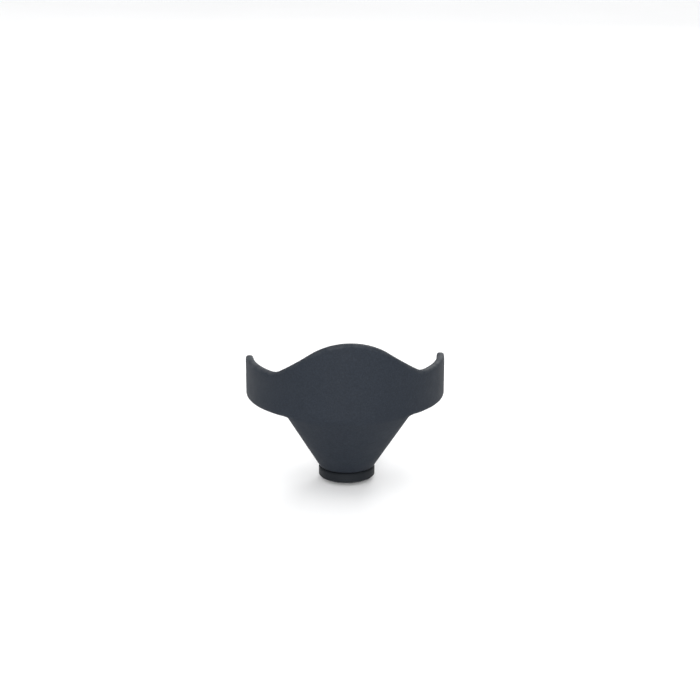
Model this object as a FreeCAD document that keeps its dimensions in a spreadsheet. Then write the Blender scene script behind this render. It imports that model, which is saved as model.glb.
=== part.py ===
import FreeCAD, Part
import math
import os
import re
import Sketcher

# Trailer coupler lock. Millimetres, +Z up, the shield faces -Y and the coupler comes in from +Y.
# The origin is the centre of the locking ball, raised into the coupler's socket. The piece stands as it is
# with the key turned to open: ball still raised, locking balls and wafers drawn in.

SIZES = [
    # the guard casting
    ("shield_radius", 75.0, "outside of the half-round shield"),
    ("shield_wall", 6.0, "thickness of the shield"),
    ("shield_setback", 25.0, "from the ball's axis back to the shield's axis"),
    ("band_foot", 21.0, "shield's foot below the ball's centre"),
    ("band_height", 31.2, "height of the plain band"),
    ("crest_height", 59.3, "top of the crest above the shield's foot"),
    ("crest_radius", 47.0, "round top of the crest"),
    ("crest_slope", 37.0, "slope of the crest's straight flanks, degrees"),
    ("crest_root_radius", 8.0, "hollow where a flank meets the band"),
    ("deck_thickness", 5.0, "floor inside the shield"),
    ("lip_radius", 20.0, "round tongue that hooks over the coupler's nose"),
    ("lip_reach", 20.0, "from the ball's axis forward to the tongue's tip"),
    ("lip_thickness", 5.0, "thickness of the tongue"),
    ("lip_level", 33.0, "tongue's top at its root"),
    ("lip_slope", 17.0, "fall of the tongue towards its tip, degrees"),
    ("trunk_half_width", 45.6, "half the width of the trunk at its top"),
    ("trunk_corner", 11.0, "front corners of the trunk at its top"),
    ("trunk_height", 49.5, "height of the tapering trunk"),
    ("foot_wall", 2.65, "wall round the sleeve at the trunk's foot"),
    ("foot_side_turn", 8.0, "where the trunk's flat sides end on its round foot, degrees"),
    ("foot_front_turn", 50.0, "where the trunk's curved front begins on its round foot, degrees"),
    ("chamber_room", 4.2, "room round the lowered ball"),
    ("crease_radius", 6.0, "softened edge between shield and trunk"),
    ("edge_radius", 1.6, "rounded edges of the casting"),
    # the wear plate and its screws
    ("seat_width", 13.7, "width of the wear plate"),
    ("plate_thickness", 4.0, "thickness of the wear plate"),
    ("plate_screw_radius", 2.5, "shank of a plate screw"),
    ("plate_screw_head", 4.6, "head of a plate screw"),
    ("plate_screw_sink", 2.4, "height of a plate screw's head, sunk in the plate"),
    ("plate_screw_length", 14.0, "length of a plate screw"),
    # the ball and what fastens it
    ("ball_radius", 23.8, "the ball that fills the socket"),
    ("ball_top", 15.0, "flat on top of the ball"),
    ("ball_underside", 14.0, "shoulder under the ball"),
    ("neck_radius", 12.0, "neck under the ball"),
    ("stud_radius", 6.0, "stud through neck and barrel"),
    ("stud_top", 4.0, "top of the stud below the ball's centre"),
    ("pin_radius", 1.5, "cross pins"),
    ("ball_pin_level", 26.0, "pin through the neck, below the ball's centre"),
    # the sliding barrel and the sleeve it locks in
    ("barrel_wall", 4.4, "wall of the barrel round the lock cylinder"),
    ("edge_break", 0.8, "broken edges of turned pieces"),
    ("collar_height", 7.1, "flange of the sleeve, under the trunk"),
    ("collar_step", 0.8, "how far the flange stands out of the trunk"),
    ("sleeve_wall", 2.9, "wall of the sleeve, and so the travel of the locking balls"),
    ("lock_height", 23.6, "locking balls above the foot of the barrel"),
    ("locking_ball_radius", 4.0, "locking balls"),
    ("ball_room", 0.5, "above the locking balls in the guard"),
    ("bay_rise", 7.0, "top of the cylinder bay above the locking balls"),
    ("barrel_rise", 18.0, "top of the barrel above the locking balls"),
    ("guide_rise", 11.6, "guide screw above the foot of the barrel"),
    ("guide_radius", 3.0, "guide screw"),
    ("dog_radius", 2.0, "dog point of the guide screw"),
    ("keyway_depth", 2.3, "keyway in the back of the barrel"),
    ("ring_rise", 3.6, "seal above the foot of the barrel"),
    ("ring_section", 0.85, "half the thickness of the seal"),
    # the lock cylinder
    ("cylinder_radius", 10.0, "outside of the cylinder's shell"),
    ("cylinder_recess", 0.4, "face of the cylinder inside the barrel's foot"),
    ("plug_radius", 6.0, "plug that the key turns"),
    ("plug_head_radius", 7.4, "head of the plug"),
    ("plug_head_height", 1.5, "thickness of the plug's head"),
    ("tail_width", 6.0, "square tail that drives the cam"),
    ("cam_rise", 3.0, "top of the cam above the locking balls"),
    ("cam_screw_radius", 1.5, "screw that keeps the cam on"),
    ("cam_screw_head", 3.2, "head of the cam's screw"),
    ("cam_screw_length", 5.0, "hole for the cam's screw"),
    ("wafer_thickness", 1.0, "a wafer"),
    ("wafer_width", 4.8, "width of a wafer"),
    ("wafer_pitch", 2.6, "from one wafer to the next"),
    ("wafer_rise", 5.6, "first wafer above the foot of the barrel"),
    ("wafer_travel", 0.8, "how far the wafers spring out"),
    ("key_width", 2.2, "keyway in the plug"),
    ("key_height", 7.0, "keyway in the plug"),
    ("ear_length", 2.0, "wafer's ear, pushed by its spring"),
    ("ear_width", 1.0, "wafer's ear"),
    ("ear_place", 1.7, "near side of the ear from the plug's axis"),
    ("spring_room", 4.3, "length of a spring's pocket before the ear"),
    ("spring_radius", 0.38, "a wafer spring, to the middle of its wire"),
    ("wire_radius", 0.1, "wire of a wafer spring"),
    ("drill_pin_radius", 0.9, "hardened pin in the cylinder's face"),
    ("drill_pin_circle", 8.7, "radius that the hardened pins stand on"),
    ("drill_pin_length", 12.0, "hardened pin"),
    ("shell_screw_radius", 1.5, "grub screw that holds the cylinder"),
    ("shell_screw_rise", 9.6, "grub screw above the foot of the barrel"),
    # the dust cover
    ("cover_lap", 1.0, "how far the cover laps over the cylinder"),
    ("cover_thickness", 1.2, "the cover's sheet"),
    ("cover_ear", 2.7, "eye round the rivet"),
    ("washer_thickness", 0.3, "under the cover"),
    ("washer_radius", 2.3, "under the cover"),
    ("rivet_radius", 1.15, "shank of the rivet"),
    ("rivet_head", 2.3, "head of the rivet"),
    ("rivet_length", 6.6, "shank of the rivet inside the barrel"),
    # clearances
    ("slide_fit", 0.1, "barrel in sleeve, locking balls in their holes, plate round ball"),
    ("turn_fit", 0.05, "plug in cylinder, cover on rivet"),
    ("slip", 0.05, "screws, pins and the sleeve in their holes"),
    ("stop_gap", 0.3, "left at the end of a stroke"),
    ("cam_gap", 0.4, "between cam and locking balls"),
    ("plate_gap", 0.5, "between ball and wear plate"),
    ("guard_gap", 0.7, "barrel in the guard above the sleeve"),
]
NAMES = {name for name, amount, note in SIZES}
WAFERS = 5

# Levels and places that follow from the sizes.
PLACES = {
    "barrel_radius": "cylinder_radius + slide_fit + barrel_wall",
    "sleeve_radius": "barrel_radius + slide_fit + sleeve_wall",
    "trunk_foot_radius": "sleeve_radius + slip + foot_wall",
    "collar_radius": "trunk_foot_radius + collar_step",
    "chamber_radius": "ball_radius + chamber_room",
    "plate_radius": "ball_radius + plate_gap + seat_width",
    "plate_screw_circle": "(chamber_radius + plate_radius) / 2",
    "shield_inside": "shield_radius - shield_wall",
    "band_top": "band_height - band_foot",
    "crest_top": "crest_height - band_foot",
    "deck_top": "deck_thickness - band_foot",
    "plate_top": "deck_top + plate_thickness",
    "trunk_foot": "-band_foot - trunk_height",
    "barrel_foot": "trunk_foot - collar_height",
    "lock_level": "barrel_foot + lock_height",
    "barrel_top": "lock_level + barrel_rise",
    "bay_top": "lock_level + bay_rise",
    "stud_foot": "bay_top + pin_radius",
    "stud_pin_level": "barrel_top - 3 * pin_radius",
    "stroke": "lock_height + locking_ball_radius + 4 * slide_fit",
    "chamber_floor": "-ball_underside - stroke - stop_gap",
    "sleeve_top": "lock_level - locking_ball_radius",
    "groove_top": "lock_level + locking_ball_radius + ball_room",
    "guide_level": "barrel_foot + guide_rise",
    "keyway_foot": "guide_level - dog_radius - stop_gap",
    "keyway_floor": "barrel_radius - keyway_depth",
    "screw_level": "barrel_foot + shell_screw_rise",
    "ring_level": "barrel_foot + ring_rise",
    "ring_middle": "barrel_radius + ring_section + slip",
    "cylinder_face": "barrel_foot + cylinder_recess",
    "plug_face": "cylinder_face + 2 * turn_fit",
    "plug_seat": "plug_face + plug_head_height + turn_fit",
    "cam_top": "lock_level + cam_rise",
    "cylinder_top": "sleeve_top - stop_gap",
    "cam_foot": "cylinder_top + stop_gap",
    "ball_rest": "barrel_radius - locking_ball_radius - 2 * slide_fit",
    "cam_short": "ball_rest - locking_ball_radius - cam_gap",
    "cam_long": "cam_short + sleeve_wall",
    "cover_top": "barrel_foot - washer_thickness",
    "cover_foot": "cover_top - cover_thickness",
    "rivet_place": "barrel_radius - barrel_wall / 2",
    "cover_radius": "cylinder_radius + cover_lap",
    "wafer_length": "2 * (sqrt(plug_radius^2 - wafer_width^2 / 4) - slide_fit)",
    "wafer_groove": "plug_radius + 1.5 * wafer_travel",
    "shell_screw_floor": "cylinder_radius - shell_screw_radius / 1.5",
}

doc = FreeCAD.newDocument("CouplerLock")
pieces = []


def write_sheet():
    """The driving sizes, one row each: name, amount, what it is."""
    sheet = doc.addObject("Spreadsheet::Sheet", "Dims")
    for row, (name, amount, note) in enumerate(SIZES, start=1):
        sheet.set(f"A{row}", name)
        sheet.set(f"B{row}", str(amount))
        sheet.setAlias(f"B{row}", name)
        sheet.set(f"C{row}", note)
    doc.recompute()
    return sheet


dims = write_sheet()


def formula(text):
    """An expression for setExpression: sizes point at the sheet and places are written out."""
    def expand(word):
        name = word.group(0)
        if name in NAMES:
            return f"Dims.{name}"
        if name in PLACES:
            return f"({formula(PLACES[name])})"
        return name
    return re.sub(r"[a-z_]+", expand, text)


def amount(text):
    """What an expression comes to now."""
    return float(dims.evalExpression(formula(text)))


# ---------------------------------------------------------------- sketches

def hold(sketch, kind, *where, size):
    """A sketch constraint whose size is bound to an expression."""
    index = sketch.addConstraint(Sketcher.Constraint(kind, *where, amount(size)))
    sketch.setExpression(f"Constraints[{index}]", formula(size))


def place_point(sketch, piece, end, across, up):
    """Fixes one end or centre of a sketched piece at (across, up)."""
    if across == "0":
        sketch.addConstraint(Sketcher.Constraint("PointOnObject", piece, end, -2))
    else:
        hold(sketch, "DistanceX", -1, 1, piece, end, size=across)
    if up == "0":
        sketch.addConstraint(Sketcher.Constraint("PointOnObject", piece, end, -1))
    else:
        hold(sketch, "DistanceY", -1, 1, piece, end, size=up)


def arc_between(start, end, radius):
    """The shorter arc from start to end: to the left when radius is positive, else to the right."""
    chord = end - start
    reach = math.sqrt(max(radius**2 - (chord.Length / 2)**2, 0))
    side = FreeCAD.Vector(-chord.y, chord.x, 0).normalize() * math.copysign(reach, radius)
    centre = (start + end) / 2 + side
    first, last = (start, end) if radius > 0 else (end, start)
    angles = [math.atan2(spot.y - centre.y, spot.x - centre.x) for spot in (first, last)]
    circle = Part.Circle(centre, FreeCAD.Vector(0, 0, 1), abs(radius))
    return Part.ArcOfCircle(circle, angles[0], angles[1])


def outline(sketch, corners):
    """A closed outline. A corner is (across, up), with a radius added where an arc leads to the next."""
    spots = [FreeCAD.Vector(amount(corner[0]), amount(corner[1]), 0) for corner in corners]
    ends = []
    for number, corner in enumerate(corners):
        start = spots[number]
        end = spots[(number + 1) % len(corners)]
        if len(corner) == 2:
            piece = sketch.addGeometry(Part.LineSegment(start, end), False)
            ends.append((piece, 1, 2))
            continue
        radius = amount(corner[2])
        piece = sketch.addGeometry(arc_between(start, end, radius), False)
        ends.append((piece, 1, 2) if radius > 0 else (piece, 2, 1))
    for number, (piece, start, end) in enumerate(ends):
        following, following_start, _ = ends[(number + 1) % len(ends)]
        sketch.addConstraint(Sketcher.Constraint("Coincident", piece, end, following, following_start))
        place_point(sketch, piece, start, corners[number][0], corners[number][1])
        if len(corners[number]) == 3:
            hold(sketch, "Radius", piece, size=corners[number][2].lstrip("-"))


def ring(sketch, across, up, radius):
    """A full circle."""
    centre = FreeCAD.Vector(amount(across), amount(up), 0)
    piece = sketch.addGeometry(Part.Circle(centre, FreeCAD.Vector(0, 0, 1), amount(radius)), False)
    place_point(sketch, piece, 3, across, up)
    hold(sketch, "Radius", piece, size=radius)


def sketch_on(body, plane, height="0", outlines=(), rings=()):
    """A sketch on one of the body's own origin planes, height along the plane's normal."""
    sketch = body.newObject("Sketcher::SketchObject", f"{body.Name}_sketch")
    base = next(part for part in body.Origin.OriginFeatures if part.Role == plane)
    sketch.AttachmentSupport = [(base, "")]
    sketch.MapMode = "FlatFace"
    if height != "0":
        sketch.setExpression("AttachmentOffset.Base.z", formula(height))
    for corners in outlines:
        outline(sketch, corners)
    for circle in rings:
        ring(sketch, *circle)
    return sketch


def box_outline(low_across, high_across, low_up, high_up):
    """The four corners of a rectangle."""
    return [(low_across, low_up), (high_across, low_up), (high_across, high_up), (low_across, high_up)]


def hexagon(across, up, radius):
    """A hexagon by the radius of its corners, as for a key socket."""
    return [(f"{across} + {radius} * cos({60 * turn})", f"{up} + {radius} * sin({60 * turn})")
            for turn in range(6)]


# ---------------------------------------------------------------- features

# The plane square to each axis, and whether the plane's normal points along that axis.
PLANES = {"X": ("YZ_Plane", True), "Y": ("XZ_Plane", False), "Z": ("XY_Plane", True)}


def new_piece(label):
    """A body that becomes the sub-part of that name."""
    body = doc.addObject("PartDesign::Body", label)
    body.Label = label
    pieces.append(body)
    return body


def add_feature(body, kind, sketch, **sizes):
    """A feature of a sketch, with its sizes bound to expressions."""
    feature = body.newObject(f"PartDesign::{kind}", f"{body.Name}_{kind.lower()}")
    feature.Profile = sketch
    for name, size in sizes.items():
        feature.setExpression(name, formula(size))
    return feature


def recompute_cut(body, before):
    """Recomputes, and stops if the cut took nothing away."""
    doc.recompute()
    if body.Shape.Volume > before - 1e-4:
        raise RuntimeError(f"a cut in {body.Label} took nothing away")


def pad(body, axis, low, high, outlines=(), rings=()):
    """Material from low to high along an axis."""
    plane, along = PLANES[axis]
    sketch = sketch_on(body, plane, low if along else f"-({low})", outlines, rings)
    feature = add_feature(body, "Pad", sketch, Length=f"({high}) - ({low})")
    feature.Reversed = not along
    return feature


def pocket(body, axis, low, high, outlines=(), rings=()):
    """A cut from low to high along an axis."""
    doc.recompute()
    before = body.Shape.Volume
    plane, along = PLANES[axis]
    sketch = sketch_on(body, plane, low if along else f"-({low})", outlines, rings)
    feature = add_feature(body, "Pocket", sketch, Length=f"({high}) - ({low})")
    feature.Reversed = along
    recompute_cut(body, before)
    return feature


def groove(body, corners, plane="XZ_Plane", height="0"):
    """A turned cut about the sketch's upright axis."""
    doc.recompute()
    before = body.Shape.Volume
    sketch = sketch_on(body, plane, height, [corners])
    feature = add_feature(body, "Groove", sketch)
    feature.ReferenceAxis = (sketch, ["V_Axis"])
    recompute_cut(body, before)
    return feature


def turned(label, corners, plane="XZ_Plane", height="0"):
    """A body turned about the sketch's upright axis."""
    body = new_piece(label)
    sketch = sketch_on(body, plane, height, [corners])
    feature = add_feature(body, "Revolution", sketch)
    feature.ReferenceAxis = (sketch, ["V_Axis"])
    return body


def repeat_round(body, features, count):
    """Copies of some features, evenly round the Z axis."""
    pattern = body.newObject("PartDesign::PolarPattern", f"{body.Name}_round")
    pattern.Originals = features
    pattern.Axis = (next(part for part in body.Origin.OriginFeatures if part.Role == "Z_Axis"), [""])
    pattern.Angle = 360
    pattern.Occurrences = count
    body.Tip = pattern


def repeat_up(body, feature, count, pitch):
    """Copies of a feature, one above the other."""
    pattern = body.newObject("PartDesign::LinearPattern", f"{body.Name}_row")
    pattern.Originals = [feature]
    pattern.Direction = (next(part for part in body.Origin.OriginFeatures if part.Role == "Z_Axis"), [""])
    pattern.setExpression("Length", formula(f"{count - 1} * {pitch}"))
    pattern.Occurrences = count
    body.Tip = pattern


def round_edges(body, radius, wanted):
    """Rounds the edges that wanted(edge) picks."""
    doc.recompute()
    base = body.Tip
    names = [f"Edge{number}" for number, edge in enumerate(base.Shape.Edges, start=1) if wanted(edge)]
    if not names:
        raise RuntimeError(f"no edge to round on {body.Label}")
    feature = body.newObject("PartDesign::Fillet", f"{body.Name}_round")
    feature.Base = (base, names)
    feature.setExpression("Radius", formula(radius))
    return feature


def level(edge, height):
    """Whether an edge lies flat at a height."""
    box = edge.BoundBox
    return abs(box.ZMin - height) < 1e-3 and abs(box.ZMax - height) < 1e-3


# ---------------------------------------------------------------- guard

def crest_points():
    """Right half of the crest's outline seen from the front, from its foot up to its round top."""
    centre = "(crest_top - crest_radius)"
    top_x = "crest_radius * sin(crest_slope)"
    top_z = f"{centre} + crest_radius * cos(crest_slope)"
    foot_x = f"({top_x} + ({top_z} - band_top) / tan(crest_slope))"
    tangent = "crest_root_radius * tan(crest_slope / 2)"
    return [
        (f"{foot_x} + {tangent}", "band_top"),
        (f"{foot_x} - {tangent} * cos(crest_slope)", f"band_top + {tangent} * sin(crest_slope)"),
        (top_x, top_z),
    ]


def shield_cut():
    """All that lies above the band's top and the crest, seen from the front."""
    root, flank, shoulder = crest_points()
    over = "crest_top + shield_wall"
    side = "shield_radius + shield_wall"
    return [
        (f"-({side})", "band_top"),
        (f"-({root[0]})", root[1], "crest_root_radius"),
        (f"-({flank[0]})", flank[1]),
        (f"-({shoulder[0]})", shoulder[1], "-crest_radius"),
        (shoulder[0], shoulder[1]),
        (flank[0], flank[1], "crest_root_radius"),
        (root[0], root[1]),
        (side, "band_top"),
        (side, over),
        (f"-({side})", over),
    ]


def trunk_top():
    """The trunk's top outline: the shield's curve in front, a half round behind."""
    inner = "(shield_radius - trunk_corner)"
    corner_x = "(trunk_half_width - trunk_corner)"
    corner_y = f"(shield_setback - sqrt({inner}^2 - {corner_x}^2))"
    front_x = f"{corner_x} * shield_radius / {inner}"
    front_y = f"shield_setback + ({corner_y} - shield_setback) * shield_radius / {inner}"
    half = "trunk_half_width"
    return [
        (half, "0", half),
        ("0", half, half),
        (f"-{half}", "0"),
        (f"-{half}", corner_y, "trunk_corner"),
        (f"-{front_x}", front_y, "shield_radius"),
        (front_x, front_y, "trunk_corner"),
        (half, corner_y),
    ]


def trunk_bottom():
    """The trunk's round foot, divided where the top outline's stretches end."""
    radius = "trunk_foot_radius"
    angles = ["0", "90", "180", "180 + foot_side_turn", "180 + foot_front_turn",
              "360 - foot_front_turn", "360 - foot_side_turn"]
    spots = []
    for angle in angles:
        across = "0" if angle == "90" else f"{radius} * cos({angle})"
        up = "0" if angle in ("0", "180") else f"{radius} * sin({angle})"
        spots.append((across, up, radius))
    return spots


def guard_casting():
    """Shield, crest, deck, nose lip and trunk in one casting."""
    body = new_piece("guard_casting")
    shield(body)
    deck(body)
    top = sketch_on(body, "XY_Plane", "-band_foot", [trunk_top()])
    foot = sketch_on(body, "XY_Plane", "trunk_foot", [trunk_bottom()])
    trunk = add_feature(body, "AdditiveLoft", top)
    trunk.Sections = [foot]
    trunk.Ruled = True
    lip(body)
    groove(body, [
        ("0", "deck_top + shield_wall"),
        ("chamber_radius", "deck_top + shield_wall"),
        ("chamber_radius", "chamber_floor"),
        ("barrel_radius + guard_gap", "chamber_floor"),
        ("barrel_radius + guard_gap", "groove_top"),
        ("sleeve_radius + slip", "groove_top"),
        ("sleeve_radius + slip", "trunk_foot - shield_wall"),
        ("0", "trunk_foot - shield_wall"),
    ])
    screw = pocket(body, "Z", "deck_top - plate_screw_length + plate_thickness - stop_gap", "deck_top",
                   rings=[("plate_screw_circle * cos(45)", "plate_screw_circle * sin(45)",
                           "plate_screw_radius + slip")])
    repeat_round(body, [screw], 4)
    pocket(body, "Y", "sleeve_radius - shield_wall", "trunk_half_width",
           rings=[("0", "guide_level", "guide_radius + slip")])
    crease = amount("-band_foot")
    half = amount("trunk_half_width")
    doc.recompute()
    round_edges(body, "crease_radius", lambda edge: (
        level(edge, crease) and on_cylinder(edge, amount("shield_radius"))
        and max(abs(edge.BoundBox.XMin), abs(edge.BoundBox.XMax)) < half))


def on_cylinder(edge, radius):
    """Whether an edge lies on a cylinder round the shield's axis."""
    length = edge.LastParameter - edge.FirstParameter
    spots = [edge.valueAt(edge.FirstParameter + length * share) for share in (0, 0.3, 0.6, 1)]
    return all(abs(math.hypot(spot.x, spot.y - amount("shield_setback")) - radius) < 1e-3 for spot in spots)


def shield(body):
    """Half-round shield with its crest, rounded along the top and down the ends."""
    inside = "shield_inside"
    setback = "shield_setback"
    pad(body, "Z", "-band_foot", "crest_top", [[
        ("shield_radius", setback),
        (inside, setback, f"-{inside}"),
        ("0", f"{setback} - ({inside})", f"-{inside}"),
        (f"-({inside})", setback),
        ("-shield_radius", setback, "shield_radius"),
        ("0", f"{setback} - shield_radius", "shield_radius"),
    ]])
    pocket(body, "Y", "-shield_radius", "shield_radius", [shield_cut()])
    foot = amount("-band_foot")
    back = amount(setback)

    def rim(edge):
        box = edge.BoundBox
        if abs(box.YMin - back) < 1e-3:
            return box.ZMax > foot + 1e-3
        if box.ZMin < foot + 1e-3:
            return False
        return any(on_cylinder(edge, amount(radius)) for radius in ("shield_radius", inside))

    round_edges(body, "edge_radius", rim)


def deck(body):
    """Floor inside the shield, with a round back over the trunk."""
    middle = "(shield_radius - shield_wall / 2)"
    wing_x = f"sqrt({middle}^2 - shield_setback^2)"
    half = "trunk_half_width"
    pad(body, "Z", "-band_foot", "deck_top", [[
        (half, "0", half),
        ("0", half, half),
        (f"-{half}", "0"),
        (f"-{wing_x}", "0", middle),
        ("0", f"shield_setback - {middle}", middle),
        (wing_x, "0"),
    ]])


def lip(body):
    """The tongue that slopes back from the crest and hooks over the coupler's nose."""
    sketch = body.newObject("Sketcher::SketchObject", "lip_sketch")
    base = next(part for part in body.Origin.OriginFeatures if part.Role == "XY_Plane")
    sketch.AttachmentSupport = [(base, "")]
    sketch.MapMode = "FlatFace"
    sketch.AttachmentOffset = FreeCAD.Placement(
        FreeCAD.Vector(0, 0, 0), FreeCAD.Rotation(FreeCAD.Vector(-1, 0, 0), amount("lip_slope")))
    sketch.setExpression("AttachmentOffset.Rotation.Angle", formula("lip_slope"))
    root = "(shield_setback - shield_radius + 0.8 * shield_wall)"
    sketch.setExpression("AttachmentOffset.Base.y", formula(root))
    sketch.setExpression("AttachmentOffset.Base.z", formula("lip_level"))
    length = f"((-lip_reach - {root}) / cos(lip_slope))"
    radius = "lip_radius"
    outline(sketch, [
        (f"-{radius}", "0"),
        (radius, "0"),
        (radius, f"{length} - {radius}", radius),
        ("0", length, radius),
        (f"-{radius}", f"{length} - {radius}"),
    ])
    feature = add_feature(body, "Pad", sketch, Length="lip_thickness")
    feature.Reversed = True


# ---------------------------------------------------------------- wear plate

PLATE_SCREW = ("plate_screw_circle * cos(45)", "plate_screw_circle * sin(45)")


def wear_plate():
    """Flat ring on the deck that the coupler's rim rests on."""
    body = new_piece("wear_plate")
    pad(body, "Z", "deck_top", "plate_top", rings=[
        ("0", "0", "plate_radius"),
        ("0", "0", "ball_radius + plate_gap"),
    ])
    hole = pocket(body, "Z", "deck_top", "plate_top", rings=[(*PLATE_SCREW, "plate_screw_radius + slip")])
    repeat_round(body, [hole], 4)
    seat = pocket(body, "Z", "plate_top - plate_screw_sink", "plate_top",
                  rings=[(*PLATE_SCREW, "plate_screw_head + slip")])
    repeat_round(body, [seat], 4)


def plate_screws():
    """Four screws through the wear plate into the deck, with key sockets."""
    body = new_piece("plate_screws")
    body.AllowCompound = True
    shank = pad(body, "Z", "plate_top - plate_screw_length", "plate_top - plate_screw_sink",
                rings=[(*PLATE_SCREW, "plate_screw_radius")])
    head = pad(body, "Z", "plate_top - plate_screw_sink", "plate_top - slip",
               rings=[(*PLATE_SCREW, "plate_screw_head")])
    socket = pocket(body, "Z", "plate_top - 0.8 * plate_screw_sink", "plate_top",
                    [hexagon(*PLATE_SCREW, "plate_screw_radius * 0.7")])
    repeat_round(body, [shank, head, socket], 4)


# ---------------------------------------------------------------- ball

def socket_ball():
    """Flat-topped ball with its neck, bored from below for the stud."""
    cap = "sqrt(ball_radius^2 - ball_top^2)"
    shoulder = "sqrt(ball_radius^2 - ball_underside^2)"
    bore = "stud_radius + slip"
    body = turned("socket_ball", [
        ("0", "ball_top"),
        ("0", "slip - stud_top"),
        (bore, "slip - stud_top"),
        (bore, "barrel_top"),
        ("neck_radius", "barrel_top"),
        ("neck_radius", "-ball_underside"),
        (shoulder, "-ball_underside", "ball_radius"),
        ("ball_radius", "0", "ball_radius"),
        (cap, "ball_top"),
    ])
    pocket(body, "X", "-neck_radius", "neck_radius", rings=[("0", "-ball_pin_level", "pin_radius + slip")])


def ball_stud():
    """Stud that joins the ball to the barrel, cross-drilled for both pins."""
    body = turned("ball_stud", [
        ("0", "stud_foot"),
        ("0.8 * stud_radius", "stud_foot"),
        ("stud_radius", "stud_foot + 0.2 * stud_radius"),
        ("stud_radius", "-stud_top - 0.2 * stud_radius"),
        ("0.8 * stud_radius", "-stud_top"),
        ("0", "-stud_top"),
    ])
    pocket(body, "X", "-stud_radius", "stud_radius", rings=[
        ("0", "-ball_pin_level", "pin_radius + slip"),
        ("0", "stud_pin_level", "pin_radius + slip"),
    ])


def cross_pin(label, height, reach):
    """A pin along X, as long as the piece it goes through."""
    body = new_piece(label)
    pad(body, "X", f"-({reach})", reach, rings=[("0", height, "pin_radius")])


# ---------------------------------------------------------------- barrel and locking

def plunger_barrel():
    """Sliding barrel: stud on top, locking balls at its sides, lock cylinder in its foot."""
    bay = "cylinder_radius + slide_fit"
    bore = "stud_radius + slip"
    body = turned("plunger_barrel", [
        (bore, "barrel_top"),
        (bore, "bay_top"),
        (bay, "bay_top"),
        (bay, "barrel_foot"),
        ("barrel_radius - edge_break", "barrel_foot"),
        ("barrel_radius", "barrel_foot + edge_break"),
        ("barrel_radius", "barrel_top - edge_break"),
        ("barrel_radius - edge_break", "barrel_top"),
    ])
    pocket(body, "X", "-barrel_radius", "barrel_radius",
           rings=[("0", "lock_level", "locking_ball_radius + slide_fit")])
    pocket(body, "X", "-barrel_radius", "barrel_radius",
           rings=[("0", "stud_pin_level", "pin_radius + slip")])
    keyway = "dog_radius + 3 * slip"
    pocket(body, "Z", "keyway_foot", "barrel_top",
           [box_outline(f"-({keyway})", keyway, "keyway_floor", "barrel_radius + keyway_depth")])
    pocket(body, "Y", "-barrel_radius", "0", rings=[("0", "screw_level", "shell_screw_radius + slip")])
    pocket(body, "Z", "barrel_foot", "barrel_foot + rivet_length + slip",
           rings=[("0", "rivet_place", "rivet_radius + slip")])


def locking_ball(label, side):
    """Steel ball in a side hole of the barrel."""
    ball = doc.addObject("Part::Sphere", label)
    ball.Label = label
    ball.setExpression("Radius", formula("locking_ball_radius"))
    ball.setExpression("Placement.Base.x", formula(f"{side} * (ball_rest)"))
    ball.setExpression("Placement.Base.z", formula("lock_level"))
    pieces.append(ball)


def locking_sleeve():
    """Hardened sleeve pressed up into the trunk, with a flange under it and a groove for the seal."""
    bore = "barrel_radius + slide_fit"
    groove_radius = "ring_middle + ring_section + slip"
    half_groove = "(ring_section + 3 * slip + slide_fit)"
    body = turned("locking_sleeve", [
        (bore, "sleeve_top"),
        (bore, f"ring_level + {half_groove}"),
        (groove_radius, f"ring_level + {half_groove}"),
        (groove_radius, f"ring_level - {half_groove}"),
        (bore, f"ring_level - {half_groove}"),
        (bore, "barrel_foot"),
        ("collar_radius - edge_break", "barrel_foot"),
        ("collar_radius", "barrel_foot + edge_break"),
        ("collar_radius", "trunk_foot - edge_break"),
        ("collar_radius - edge_break", "trunk_foot"),
        ("sleeve_radius", "trunk_foot"),
        ("sleeve_radius", "sleeve_top"),
    ])
    pocket(body, "Y", "0", "sleeve_radius", rings=[("0", "guide_level", "guide_radius + slip")])


def sleeve_o_ring():
    """Rubber seal between sleeve and barrel."""
    seal = doc.addObject("Part::Torus", "sleeve_o_ring")
    seal.Label = "sleeve_o_ring"
    seal.setExpression("Radius1", formula("ring_middle"))
    seal.setExpression("Radius2", formula("ring_section"))
    seal.setExpression("Placement.Base.z", formula("ring_level"))
    pieces.append(seal)


def guide_screw():
    """Screw from the back of the trunk whose dog point runs in the barrel's keyway."""
    slope = "((trunk_half_width - trunk_foot_radius) / trunk_height)"
    outside = f"(trunk_foot_radius + {slope} * (guide_level - trunk_foot))"
    outer = f"({outside} - guide_radius * 0.6)"
    inner = "(keyway_floor + 2 * slide_fit)"
    body = turned("guide_screw", [
        ("0", inner),
        ("dog_radius", inner),
        ("dog_radius", "barrel_radius + stop_gap"),
        ("guide_radius", "barrel_radius + dog_radius"),
        ("guide_radius", outer),
        ("0", outer),
    ], "XY_Plane", "guide_level")
    pocket(body, "Y", f"{outer} - guide_radius", outer, [hexagon("0", "guide_level", "guide_radius * 0.55")])


# ---------------------------------------------------------------- lock cylinder

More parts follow.
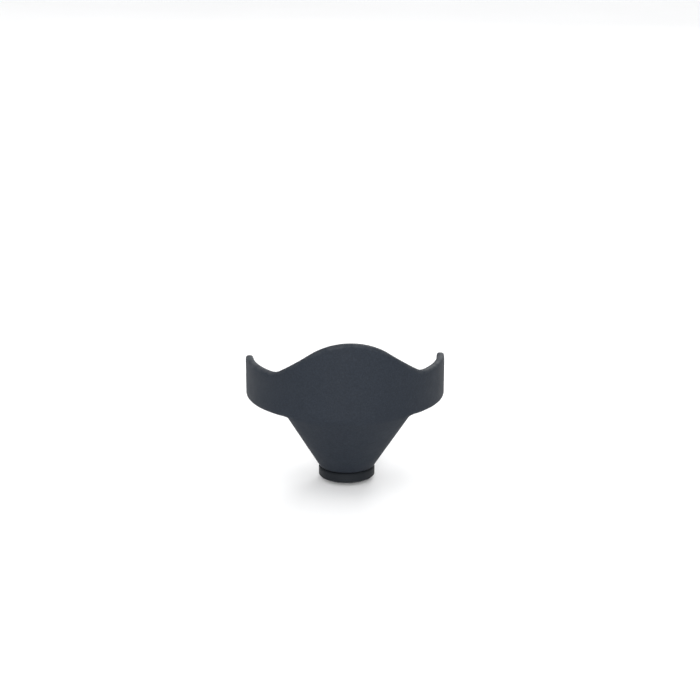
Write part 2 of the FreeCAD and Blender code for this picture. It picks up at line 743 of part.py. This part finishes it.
def cylinder_shell():
    """Fixed part of the lock cylinder, bored for the plug and slotted for the wafers."""
    body = turned("cylinder_shell", [
        ("plug_radius + turn_fit", "cylinder_top"),
        ("plug_radius + turn_fit", "plug_seat"),
        ("plug_head_radius + slide_fit", "plug_seat"),
        ("plug_head_radius + slide_fit", "cylinder_face"),
        ("cylinder_radius", "cylinder_face"),
        ("cylinder_radius", "cylinder_top"),
    ])
    half = "wafer_width / 2 + slide_fit * 2"
    top = "cylinder_top"
    pocket(body, "Z", "plug_seat", top, [box_outline(f"-({half})", half, "0", "wafer_groove")])
    pocket(body, "Z", "plug_seat", top, [box_outline("-(wafer_groove)", "0", f"-({half})", half)])
    for side in (1, -1):
        place = f"{side} * drill_pin_circle * cos(45)"
        pocket(body, "Z", "cylinder_face", "cylinder_face + drill_pin_length + slip",
               rings=[(place, place, "drill_pin_radius + slip")])
    pocket(body, "Y", "-cylinder_radius", "-(shell_screw_floor)",
           rings=[("0", "screw_level", "shell_screw_radius + slip")])


def anti_drill_pin(number, side):
    """Hardened pin set into the cylinder's face."""
    body = new_piece(f"anti_drill_pin_{number}")
    place = f"{side} * drill_pin_circle * cos(45)"
    pad(body, "Z", "cylinder_face", "cylinder_face + drill_pin_length", rings=[(place, place, "drill_pin_radius")])


def shell_screw():
    """Grub screw through the barrel's front that holds the cylinder."""
    outer = "(barrel_radius - stop_gap)"
    body = turned("shell_screw", [
        ("0", f"-{outer}"),
        ("shell_screw_radius", f"-{outer}"),
        ("shell_screw_radius", "-(shell_screw_floor + 2 * slip)"),
        ("0", "-(shell_screw_floor + 2 * slip)"),
    ], "XY_Plane", "screw_level")
    pocket(body, "Y", f"-{outer}", f"-{outer} + shell_screw_radius",
           [hexagon("0", "screw_level", "shell_screw_radius * 0.55")])


def wafer_level(number):
    """Middle of a wafer, counted from the keyhole."""
    return f"barrel_foot + wafer_rise + {number} * wafer_pitch"


def cylinder_plug():
    """Plug that the key turns: head, wafer slots, spring pockets and square tail."""
    body = turned("cylinder_plug", [
        ("0", "plug_face"),
        ("plug_head_radius", "plug_face"),
        ("plug_head_radius", "plug_seat - turn_fit"),
        ("plug_radius", "plug_seat - turn_fit"),
        ("plug_radius", "cam_foot - 2 * slip"),
        ("0", "cam_foot - 2 * slip"),
    ])
    half = "tail_width / 2"
    pad(body, "Z", "cam_foot - 2 * slip", "cam_top", [box_outline(f"-{half}", half, f"-{half}", half)])
    across = "wafer_width / 2 + turn_fit"
    through = "plug_radius + wafer_travel"
    reach = "wafer_width / 2 + ear_length + 2 * turn_fit"
    near = "ear_place - spring_room"
    far = "ear_place + ear_width + wafer_travel + 2 * turn_fit"
    first = wafer_level(0)
    slot = pocket(body, "Z", f"{first} - wafer_thickness / 2 - turn_fit",
                  f"{first} + wafer_thickness / 2 + turn_fit", [[
                      (f"-({across})", f"-({through})"),
                      (across, f"-({through})"),
                      (across, near),
                      (reach, near),
                      (reach, far),
                      (across, far),
                      (across, through),
                      (f"-({across})", through),
                  ]])
    repeat_up(body, slot, WAFERS, "wafer_pitch")
    pocket(body, "Z", "plug_face", f"{wafer_level(WAFERS - 1)} + wafer_thickness",
           [box_outline("-key_width / 2", "key_width / 2", "-key_height / 2", "key_height / 2")])
    pocket(body, "Z", "cam_top - cam_screw_length", "cam_top", rings=[("0", "0", "cam_screw_radius + slip")])


def wafer(number):
    """Flat tumbler with a window for the key and an ear for its spring."""
    body = new_piece(f"wafer_{number + 1}")
    middle = wafer_level(number)
    half = "wafer_width / 2"
    end = "wafer_length / 2"
    pad(body, "Z", f"{middle} - wafer_thickness / 2", f"{middle} + wafer_thickness / 2", [
        [
            (f"-{half}", f"-{end}"),
            (half, f"-{end}"),
            (half, "ear_place"),
            (f"{half} + ear_length", "ear_place"),
            (f"{half} + ear_length", "ear_place + ear_width"),
            (half, "ear_place + ear_width"),
            (half, end),
            (f"-{half}", end),
        ],
        box_outline("-key_width / 2 - slide_fit", "key_width / 2 + slide_fit", "-key_height / 2", "key_height / 2"),
    ])


def wafer_spring(number):
    """Small coil spring that pushes a wafer's ear outwards."""
    body = new_piece(f"wafer_spring_{number + 1}")
    across = "wafer_width / 2 + ear_length / 2 + 2 * turn_fit"
    low = "(ear_place - spring_room + wire_radius + turn_fit)"
    sketch = sketch_on(body, "XY_Plane", wafer_level(number), rings=[("spring_radius", low, "wire_radius")])
    sketch.setExpression("AttachmentOffset.Base.x", formula(across))
    coil = add_feature(body, "AdditiveHelix", sketch)
    coil.ReferenceAxis = (sketch, ["V_Axis"])
    coil.Mode = "height-turns-angle"
    coil.setExpression("Height", formula(f"ear_place - wire_radius - turn_fit - {low}"))
    coil.Turns = 8


def lock_cam():
    """Oval cam on the plug's square tail; its long half pushes the locking balls out."""
    oval = doc.addObject("Part::Ellipse", "cam_outline")
    oval.setExpression("MajorRadius", formula("cam_long"))
    oval.setExpression("MinorRadius", formula("cam_short"))
    oval.Placement = FreeCAD.Placement(
        FreeCAD.Vector(0, 0, 0), FreeCAD.Rotation(FreeCAD.Vector(0, 0, 1), 90))
    oval.setExpression("Placement.Base.z", formula("cam_foot"))
    disc = doc.addObject("Part::Extrusion", "cam_disc")
    disc.Base = oval
    disc.DirMode = "Custom"
    disc.Dir = FreeCAD.Vector(0, 0, 1)
    disc.Solid = True
    disc.setExpression("LengthFwd", formula("cam_top - cam_foot - slip"))
    hole = doc.addObject("Part::Box", "cam_hole")
    width = "tail_width + 2 * slip"
    hole.setExpression("Length", formula(width))
    hole.setExpression("Width", formula(width))
    hole.setExpression("Height", formula("2 * (cam_top - cam_foot)"))
    hole.setExpression("Placement.Base.x", formula(f"-({width}) / 2"))
    hole.setExpression("Placement.Base.y", formula(f"-({width}) / 2"))
    hole.setExpression("Placement.Base.z", formula("cam_foot - (cam_top - cam_foot) / 2"))
    cam = doc.addObject("Part::Cut", "lock_cam")
    cam.Label = "lock_cam"
    cam.Base = disc
    cam.Tool = hole
    pieces.append(cam)


def cam_screw():
    """Screw in the end of the plug's tail that keeps the cam on."""
    turned("cam_screw", [
        ("0", "cam_top - 0.9 * cam_screw_length"),
        ("cam_screw_radius", "cam_top - 0.9 * cam_screw_length"),
        ("cam_screw_radius", "cam_top"),
        ("cam_screw_head", "cam_top"),
        ("cam_screw_head", "cam_top + cam_screw_radius"),
        ("0", "cam_top + cam_screw_radius"),
    ])


# ---------------------------------------------------------------- dust cover

def dust_cover():
    """Sheet disc over the keyhole, with an eye that swings on the rivet."""
    body = new_piece("dust_cover")
    pad(body, "Z", "cover_foot", "cover_top", rings=[("0", "0", "cover_radius")])
    pad(body, "Z", "cover_foot", "cover_top", rings=[("0", "rivet_place", "cover_ear")])
    pocket(body, "Z", "cover_foot", "cover_top", rings=[("0", "rivet_place", "rivet_radius + turn_fit")])


def cover_washer():
    """Thin washer between barrel and cover."""
    body = new_piece("cover_washer")
    pad(body, "Z", "cover_top + slip", "barrel_foot", rings=[
        ("0", "rivet_place", "washer_radius"),
        ("0", "rivet_place", "rivet_radius + slip"),
    ])


def cover_rivet():
    """Rivet that the cover swings on."""
    body = new_piece("cover_rivet")
    pad(body, "Z", "cover_foot - turn_fit - rivet_radius", "cover_foot - turn_fit",
        rings=[("0", "rivet_place", "rivet_head")])
    pad(body, "Z", "cover_foot - turn_fit", "barrel_foot + rivet_length",
        rings=[("0", "rivet_place", "rivet_radius")])


# ---------------------------------------------------------------- the whole lock

guard_casting()
wear_plate()
plate_screws()
locking_sleeve()
sleeve_o_ring()
guide_screw()
socket_ball()
ball_stud()
cross_pin("ball_pin", "-ball_pin_level", "neck_radius - edge_break")
cross_pin("stud_pin", "stud_pin_level", "barrel_radius - edge_break")
plunger_barrel()
locking_ball("locking_ball_left", -1)
locking_ball("locking_ball_right", 1)
cylinder_shell()
anti_drill_pin(1, 1)
anti_drill_pin(2, -1)
shell_screw()
cylinder_plug()
lock_cam()
cam_screw()
for number in range(WAFERS):
    wafer(number)
    wafer_spring(number)
dust_cover()
cover_washer()
cover_rivet()
doc.recompute()

for thing in doc.Objects:
    if "Invalid" in thing.State or "Error" in thing.State:
        raise RuntimeError(f"{thing.Name} did not compute")
for piece in pieces:
    if piece.Shape.isNull() or not piece.Shape.isValid():
        raise RuntimeError(f"{piece.Label} has no valid shape")

os.makedirs("parts", exist_ok=True)
for piece in pieces:
    piece.Shape.exportStep(f"parts/{piece.Label}.step")
print(len(pieces), "sub-parts written")
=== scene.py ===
import math
import random

import bmesh
import bpy
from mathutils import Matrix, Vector
from mathutils.bvhtree import BVHTree


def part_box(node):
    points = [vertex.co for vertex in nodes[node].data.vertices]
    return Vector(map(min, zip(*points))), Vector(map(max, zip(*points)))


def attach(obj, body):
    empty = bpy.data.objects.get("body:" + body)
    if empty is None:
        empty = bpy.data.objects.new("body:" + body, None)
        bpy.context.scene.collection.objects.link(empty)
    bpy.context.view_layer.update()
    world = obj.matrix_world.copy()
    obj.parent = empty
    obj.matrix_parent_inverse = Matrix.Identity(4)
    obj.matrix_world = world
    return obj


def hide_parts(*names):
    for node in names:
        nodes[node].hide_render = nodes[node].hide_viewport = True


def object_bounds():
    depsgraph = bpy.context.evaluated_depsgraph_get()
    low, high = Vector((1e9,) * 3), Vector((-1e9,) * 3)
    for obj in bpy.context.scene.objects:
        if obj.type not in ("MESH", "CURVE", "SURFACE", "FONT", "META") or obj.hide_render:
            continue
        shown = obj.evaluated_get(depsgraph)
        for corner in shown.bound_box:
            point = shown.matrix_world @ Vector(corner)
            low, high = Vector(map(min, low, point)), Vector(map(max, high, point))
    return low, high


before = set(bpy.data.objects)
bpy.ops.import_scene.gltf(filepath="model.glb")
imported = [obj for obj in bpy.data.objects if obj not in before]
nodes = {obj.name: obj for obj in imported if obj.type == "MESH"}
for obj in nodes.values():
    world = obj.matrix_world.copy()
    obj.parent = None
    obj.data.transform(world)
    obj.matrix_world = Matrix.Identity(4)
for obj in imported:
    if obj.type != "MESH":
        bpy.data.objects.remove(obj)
packed_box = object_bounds()

MM = 0.001
FLOOR = packed_box[0][2]

SKIN_FACE = 0.86 * MM       # side of one square face of the cast skin
FIRST_PASSES = 5            # evens out the steps of the square faces
ROUNDING_PASSES = 5         # rounds the edges
WEAR_HIGHLIGHT_REACH = 0.10 * MM      # an edge that rounding lowers by this much is fully worn and fully lightened as a painted edge highlight
WEAR_HIGHLIGHT_SPREAD = 4             # how many times the wear and its painted edge highlight are evened with their neighbours

SEAM_RADIUS = 0.42 * MM
SEAM_SUNK = 0.18 * MM       # how far its middle lies under the skin
SEAM_WANDER = 0.12 * MM
SEAM_STEPS = 45
SEAM_BELOW_DECK = 7.5 * MM  # from the wear plate's underside to the seam's top
SEAM_ABOVE_FOOT = 1.5 * MM
SEAM_SEED = 7


# ---------------------------------------------------------------- finishes

class Reading:
    """The value of a socket. Arithmetic on it adds Math nodes beside it."""

    def __init__(self, bench, socket):
        self.bench = bench
        self.socket = socket

    def __add__(self, other):
        return self.bench.maths("ADD", self, other)

    def __sub__(self, other):
        return self.bench.maths("SUBTRACT", self, other)

    def __rsub__(self, other):
        return self.bench.maths("SUBTRACT", other, self)

    def __mul__(self, other):
        return self.bench.maths("MULTIPLY", self, other)


class Bench:
    """Lays out the nodes of one tree."""

    def __init__(self, tree):
        self.tree = tree

    def feed(self, socket, value):
        if isinstance(value, Reading):
            self.tree.links.new(value.socket, socket)
        else:
            socket.default_value = value

    def node(self, kind, settings=None, sockets=None, output=0):
        """Adds any node: its settings first, then its sockets' values or links."""
        made = self.tree.nodes.new(kind)
        for name, value in (settings or {}).items():
            setattr(made, name, value)
        for name, value in (sockets or {}).items():
            self.feed(made.inputs[name], value)
        return Reading(self, made.outputs[output])

    def maths(self, operation, *terms):
        return self.node("ShaderNodeMath", {"operation": operation}, dict(enumerate(terms)))

    def axis(self, place, letter):
        """One coordinate of a place."""
        return self.node("ShaderNodeSeparateXYZ", sockets={0: place}, output=letter)

    def between(self, value, low, high, to_low=0.0, to_high=1.0):
        """Stretches the part of a value between low and high to another range."""
        return self.node("ShaderNodeMapRange", sockets={
            "Value": value, "From Min": low, "From Max": high, "To Min": to_low, "To Max": to_high})


class Finish(Bench):
    """One coat or metal, with the shader that its nodes feed."""

    def __init__(self, name, **constants):
        self.material = bpy.data.materials.new(name)
        self.material.use_nodes = True
        super().__init__(self.material.node_tree)
        self.shader = self.tree.nodes["Principled BSDF"]
        for socket, value in constants.items():
            self.shader.inputs[socket.replace("_", " ")].default_value = value
        self.place = self.node("ShaderNodeTexCoord", output="Object")

    def stretched(self, scale, turn=(0, 0, 0)):
        """The place on the piece, drawn out or squeezed along its axes."""
        return self.node("ShaderNodeMapping", sockets={
            "Vector": self.place, "Rotation": turn, "Scale": scale})

    def grain(self, scale, detail=2.0, rough=0.5, place=None):
        """Even noise from 0 to 1, scale in lumps per metre."""
        return self.node("ShaderNodeTexNoise", sockets={
            "Vector": place or self.place, "Scale": scale, "Detail": detail, "Roughness": rough})

    def blend(self, factor, first, second):
        """Goes from the first colour to the second."""
        return self.node("ShaderNodeMix", {"data_type": "RGBA"}, {0: factor, 6: first, 7: second}, output=2)

    def edges(self, width):
        """1 on outside and inside edges, 0 on the open surface."""
        soft = self.node("ShaderNodeBevel", {"samples": 6}, {"Radius": width})
        true = self.node("ShaderNodeNewGeometry", output="Normal")
        agreement = self.node(
            "ShaderNodeVectorMath", {"operation": "DOT_PRODUCT"}, {0: soft, 1: true}, output="Value")
        return self.between(1 - agreement, 0.004, 0.12)

    def bump(self, height, depth, over=None):
        """Raises the surface by a height of 0 to 1 times a depth in metres."""
        sockets = {"Height": height, "Distance": depth, "Strength": 1.0}
        if over:
            sockets["Normal"] = over
        return self.node("ShaderNodeBump", sockets=sockets)

    def show(self, **feeds):
        for socket, value in feeds.items():
            self.feed(self.shader.inputs[socket.replace("_", " ")], value)
        return self.material


def grey(level, warmth=0.0):
    """A near-neutral colour. Warmth above 0 leans to red, below 0 to blue."""
    return (level * (1 + warmth), level, level * (1 - warmth), 1.0)


def powder_coat():
    """Matt black powder coat, lightly textured, over a sand casting."""
    coat = Finish("powder_coat", Specular_IOR_Level=0.2)
    peel = coat.grain(850.0, 2.0, 0.55)
    speck = coat.grain(1300.0, 2.0, 0.6)
    sand = coat.grain(95.0, 3.0, 0.55)
    cloud = coat.grain(26.0, 3.0)
    # The worn mask marks the edges that stand out. It drives real wear (lower roughness) and a painted edge
    # highlight (lighter colour).
    edge_wear_and_highlight = coat.node("ShaderNodeAttribute", {"attribute_name": "edge_wear_and_highlight"}, output="Fac")
    wear_and_highlight = coat.between(edge_wear_and_highlight * coat.grain(220.0, 3.0, 0.6), 0.30, 0.75)
    deep, pale, pit = (0.0120, 0.0166, 0.0246, 1), (0.0146, 0.0197, 0.0284, 1), (0.0072, 0.0098, 0.0146, 1)
    shade = coat.blend(coat.between(cloud, 0.3, 0.7), deep, pale)
    shade = coat.blend(coat.between(peel, 0.35, 0.65, 0.0, 0.5), shade, pit)
    shade = coat.blend(coat.between(speck, 0.60, 0.78, 0.0, 0.30), shade, grey(0.05, -0.1))
    # Painted highlight: the standing-out edges are lightened towards grey. This is partly real wear and
    # partly a painted edge highlight.
    shade = coat.blend(wear_and_highlight * 0.24, shade, grey(0.070, -0.06))
    rough = coat.between(sand * 0.5 + cloud * 0.5, 0.3, 0.7, 0.60, 0.72) - wear_and_highlight * 0.12
    normal = coat.bump(sand, 0.14 * MM)
    normal = coat.bump(peel, 0.07 * MM, normal)
    return coat.show(Base_Color=shade, Roughness=rough, Normal=normal)


def turned(name, colour, dark, rough, metal=1.0, shine=0.5, depth=0.006, pitch=3200.0):
    """Metal turned or faced about the vertical axis, with fine round tool marks.

    Depth is in millimetres, pitch in marks per metre.
    """
    steel = Finish(name, Metallic=metal, Specular_IOR_Level=shine)
    level = steel.axis(steel.place, "Z")
    flat = steel.node(
        "ShaderNodeVectorMath", {"operation": "MULTIPLY"}, {0: steel.place, 1: (1.0, 1.0, 0.0)})
    reach = steel.node("ShaderNodeVectorMath", {"operation": "LENGTH"}, {0: flat}, output="Value")
    along = steel.node("ShaderNodeCombineXYZ", sockets={"X": reach, "Z": level})
    marks = steel.grain(pitch, 3.0, 0.6, along)
    broad = steel.grain(pitch * 0.12, 2.0, 0.5, along)
    stain = steel.grain(55.0, 4.0, 0.6)
    edge = steel.edges(0.5 * MM)
    tone = steel.blend(steel.between(stain, 0.35, 0.75, 0.0, 0.55) + edge * -0.2, colour, dark)
    tone = steel.blend(steel.between(marks, 0.35, 0.7, 0.0, 0.25), tone, dark)
    gloss = steel.between(marks * 0.4 + broad * 0.6, 0.3, 0.7, rough * 0.8, rough * 1.25) + stain * 0.05
    return steel.show(Base_Color=tone, Roughness=gloss, Normal=steel.bump(marks, depth * MM))


def polished(name, colour, dark, rough):
    """Bright plating with fine hairline scratches and handling haze."""
    plate = Finish(name, Metallic=1.0)
    haze = plate.grain(70.0, 4.0, 0.6)
    hair = plate.grain(500.0, 2.0, 0.5, plate.stretched((1.0, 1.0, 14.0), (0.3, 0.5, 0.2)))
    hair = plate.between(hair, 0.64, 0.70)
    tone = plate.blend(plate.between(haze, 0.4, 0.8, 0.0, 0.5), colour, dark)
    gloss = plate.between(haze, 0.3, 0.7, rough * 0.7, rough * 1.4) + hair * 0.1
    return plate.show(Base_Color=tone, Roughness=gloss, Normal=plate.bump(hair, 0.002 * MM))


def plated_screws():
    """Zinc-plated screws: a pale crystalline bloom, brighter on the edges."""
    zinc = Finish("zinc_plate", Metallic=1.0)
    bloom = zinc.grain(900.0, 3.0, 0.6)
    cloud = zinc.grain(160.0, 3.0)
    tone = zinc.blend(zinc.between(cloud, 0.3, 0.7), grey(0.42, 0.01), grey(0.29, -0.02))
    tone = zinc.blend(zinc.between(bloom, 0.5, 0.8, 0.0, 0.5), tone, grey(0.52, -0.01))
    tone = zinc.blend(zinc.edges(0.25 * MM) * 0.5, tone, grey(0.62))
    gloss = zinc.between(bloom, 0.3, 0.7, 0.28, 0.44)
    return zinc.show(Base_Color=tone, Roughness=gloss, Normal=zinc.bump(bloom, 0.006 * MM))


def stamped_cover():
    """Stamped stainless sheet, brushed one way, with scuffs from the key."""
    sheet = Finish("brushed_sheet", Metallic=1.0)
    lines = sheet.grain(420.0, 3.0, 0.6, sheet.stretched((1.0, 22.0, 22.0)))
    scuff = sheet.grain(240.0, 4.0, 0.7, sheet.stretched((6.0, 1.0, 1.0), (0, 0, 0.7)))
    scuff = sheet.between(scuff, 0.6, 0.72)
    tone = sheet.blend(sheet.between(lines, 0.3, 0.7), grey(0.50), grey(0.36, -0.01))
    tone = sheet.blend(sheet.edges(0.3 * MM) * 0.6, tone, grey(0.6))
    gloss = sheet.between(lines, 0.3, 0.7, 0.24, 0.38) + scuff * 0.1
    return sheet.show(Base_Color=tone, Roughness=gloss, Normal=sheet.bump(lines, 0.004 * MM))


def moulded_rubber():
    """Black nitrile seal with a bloom of grease."""
    rubber = Finish("nitrile_rubber", Specular_IOR_Level=0.4)
    skin = rubber.grain(1400.0, 3.0, 0.6)
    grease = rubber.grain(180.0, 2.0)
    tone = rubber.blend(rubber.between(grease, 0.4, 0.7), grey(0.012), grey(0.024))
    gloss = rubber.between(grease, 0.35, 0.65, 0.62, 0.38)
    return rubber.show(Base_Color=tone, Roughness=gloss, Normal=rubber.bump(skin, 0.01 * MM))


finishes = {
    "guard_coat": powder_coat(),
    "sleeve_black": turned(
        "blackened_steel", (0.0050, 0.0068, 0.0095, 1), (0.0085, 0.0110, 0.0150, 1), 0.55,
        metal=0.2, shine=0.25, depth=0.012, pitch=1600.0),
    "hard_steel": turned(
        "ground_steel", grey(0.52, -0.01), grey(0.36, -0.01), 0.28, depth=0.010, pitch=2200.0),
    "ball_steel": polished("bright_plating", grey(0.64, -0.015), grey(0.55, -0.01), 0.12),
    "screw_steel": plated_screws(),
    "spring_steel": polished("drawn_wire", grey(0.48), grey(0.36), 0.25),
    "cover_steel": stamped_cover(),
    "cylinder_brass": turned("turned_brass", (0.70, 0.50, 0.22, 1), (0.52, 0.34, 0.13, 1), 0.24),
    "seal_rubber": moulded_rubber(),
}
for node in nodes.values():
    for slot in node.material_slots:
        slot.material = finishes[slot.material.name.split(".")[0]]


# ---------------------------------------------------------------- casting

def placed(name, data):
    """A new object at the origin."""
    made = bpy.data.objects.new(name, data)
    bpy.context.scene.collection.objects.link(made)
    return made


def settled(made):
    """The final mesh of a temporary object, which is removed."""
    mesh = bpy.data.meshes.new_from_object(made.evaluated_get(bpy.context.evaluated_depsgraph_get()))
    bpy.data.objects.remove(made)
    return mesh


def add_piece(name, mesh, finish, body):
    """A finished piece that moves with a body and wears the finish it is given."""
    mesh.name = name
    mesh.materials.clear()
    mesh.materials.append(finish)
    mesh.shade_smooth()
    piece = placed(name, mesh)
    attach(piece, body)
    return piece


def remeshed(mesh, voxel):
    """The same shape in even square faces."""
    blank = placed("blank", mesh)
    even = blank.modifiers.new("even", "REMESH")
    even.mode = "VOXEL"
    even.voxel_size = voxel
    return settled(blank)


def soften(shape, passes):
    """Evens out steps and rounds edges, a little more with each pass."""
    for _ in range(passes):
        bmesh.ops.smooth_vert(
            shape, verts=shape.verts, factor=0.5, use_axis_x=True, use_axis_y=True, use_axis_z=True)
    shape.normal_update()


def parting_seam(casting, side):
    """The dressed-off ridge that the mould's halves leave down one side of the trunk, under the deck."""
    surface = BVHTree.FromBMesh(casting)
    chance = random.Random(SEAM_SEED + side)
    seam_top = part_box("wear_plate")[0][2] - SEAM_BELOW_DECK
    seam_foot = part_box("guard_casting")[0][2] + SEAM_ABOVE_FOOT
    path = bpy.data.curves.new("seam_path", "CURVE")
    path.dimensions = "3D"
    path.bevel_depth = SEAM_RADIUS
    path.bevel_resolution = 2
    path.use_fill_caps = True
    spots = []
    for step in range(SEAM_STEPS + 1):
        level = seam_top + (seam_foot - seam_top) * step / SEAM_STEPS
        outside = Vector((side * 0.2, chance.uniform(-1, 1) * SEAM_WANDER, level))
        hit, outward, _, _ = surface.ray_cast(outside, Vector((-side, 0, 0)))
        spots.append(hit - outward * SEAM_SUNK)
    line = path.splines.new("POLY")
    line.points.add(SEAM_STEPS)
    for point, spot in zip(line.points, spots):
        point.co = (*spot, 1.0)
        point.radius = chance.uniform(0.8, 1.1)
    line.points[0].radius = line.points[-1].radius = 0.3
    name = f"parting_seam_{'left' if side < 0 else 'right'}"
    add_piece(name, settled(placed("rod", path)), finishes["guard_coat"], "guard")


def evened(values, shape):
    """Each corner's value becomes the mean of its neighbours'."""
    return [
        sum(values[edge.other_vert(corner).index] for edge in corner.link_edges) / len(corner.link_edges)
        for corner in shape.verts]


def cast_guard():
    """The guard as it comes from the mould: every edge soft, and rubbed where it stands out, with the
    rubbed edges also lightened as a painted highlight.
    """
    pattern = bmesh.new()
    pattern.from_mesh(nodes["guard_casting"].data)
    bmesh.ops.remove_doubles(pattern, verts=pattern.verts, dist=2e-6)
    mesh = bpy.data.meshes.new("pattern")
    pattern.to_mesh(mesh)
    pattern.free()
    mesh = remeshed(mesh, SKIN_FACE)
    casting = bmesh.new()
    casting.from_mesh(mesh)
    soften(casting, FIRST_PASSES)
    firm = [corner.co.copy() for corner in casting.verts]
    soften(casting, ROUNDING_PASSES)
    # How far rounding lowers each corner marks the standing-out edges, both for wear and for a painted edge
    # highlight.
    edge_wear_and_highlight = [
        (before - corner.co).dot(corner.normal) / WEAR_HIGHLIGHT_REACH for before, corner in zip(firm, casting.verts)]
    for _ in range(WEAR_HIGHLIGHT_SPREAD):
        edge_wear_and_highlight = evened(edge_wear_and_highlight, casting)
    casting.to_mesh(mesh)
    for side in (-1, 1):
        parting_seam(casting, side)
    casting.free()
    mesh.attributes.new("edge_wear_and_highlight", "FLOAT", "POINT").data.foreach_set("value", edge_wear_and_highlight)
    piece = add_piece("cast_guard", mesh, finishes["guard_coat"], "guard")
    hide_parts("guard_casting")


cast_guard()


# ---------------------------------------------------------------- floor, lights and camera

def floor():
    """A wide pale floor, slightly uneven in tone."""
    mesh = bpy.data.meshes.new("floor")
    shape = bmesh.new()
    bmesh.ops.create_grid(shape, x_segments=1, y_segments=1, size=9.0)
    bmesh.ops.translate(shape, verts=shape.verts, vec=(0, 0, FLOOR))
    shape.to_mesh(mesh)
    shape.free()
    made = placed("floor", mesh)
    paper = Finish("floor_paper", Specular_IOR_Level=0.2)
    tone = paper.blend(paper.grain(3.0), grey(0.86), grey(0.90))
    gloss = paper.between(paper.grain(40.0), 0.3, 0.7, 0.8, 0.9)
    mesh.materials.append(paper.show(Base_Color=tone, Roughness=gloss))


def lamp(name, place, aim, size, power):
    """A flat soft box that faces its aim."""
    light = bpy.data.lights.new(name, "AREA")
    light.shape = "RECTANGLE"
    light.size, light.size_y = size
    light.energy = power
    made = placed(name, light)
    made.location = place
    made.rotation_euler = (Vector(aim) - Vector(place)).to_track_quat("-Z", "Y").to_euler()


def studio():
    """Even light from a wide ceiling, white walls, a soft box in front and a weaker one behind."""
    lamp("overhead_box", (0.0, 1.0, 3.6), (0, 1.0, 0), (13.0, 13.0), 640.0)
    lamp("front_box", (-0.2, -2.3, 0.75), (0, 0, 0), (0.9, 0.8), 40.0)
    lamp("back_box", (0.7, 2.2, 1.5), (0, 0, 0), (1.2, 0.9), 24.0)
    world = bpy.data.worlds.new("studio_walls")
    world.use_nodes = True
    walls = Bench(world.node_tree)
    height = walls.axis(walls.node("ShaderNodeTexCoord", output="Generated"), "Z")
    shell = world.node_tree.nodes["Background"]
    walls.feed(shell.inputs["Strength"], walls.between(height, 0.02, 0.40, 0.95, 0.16))
    shell.inputs["Color"].default_value = (0.95, 0.97, 1.0, 1.0)
    bpy.context.scene.world = world
    bpy.context.scene.view_settings.view_transform = "Standard"


def camera():
    """Looks down at the lock's front, a little from its left."""
    turn, tilt, far = math.radians(-2.9), math.radians(16.5), 1.300
    away = Vector((math.sin(turn) * math.cos(tilt), -math.cos(turn) * math.cos(tilt), math.sin(tilt)))
    right = Vector((math.cos(turn), math.sin(turn), 0.0))
    up = right.cross(-away)
    aim = 2.5 * MM * right + 18.75 * MM * up
    lens = bpy.data.cameras.new("camera")
    lens.lens = 90.0
    lens.clip_start = 0.05
    made = placed("camera", lens)
    made.location = aim + far * away
    made.rotation_euler = (-away).to_track_quat("-Z", "Y").to_euler()
    bpy.context.scene.camera = made


floor()
studio()
camera()
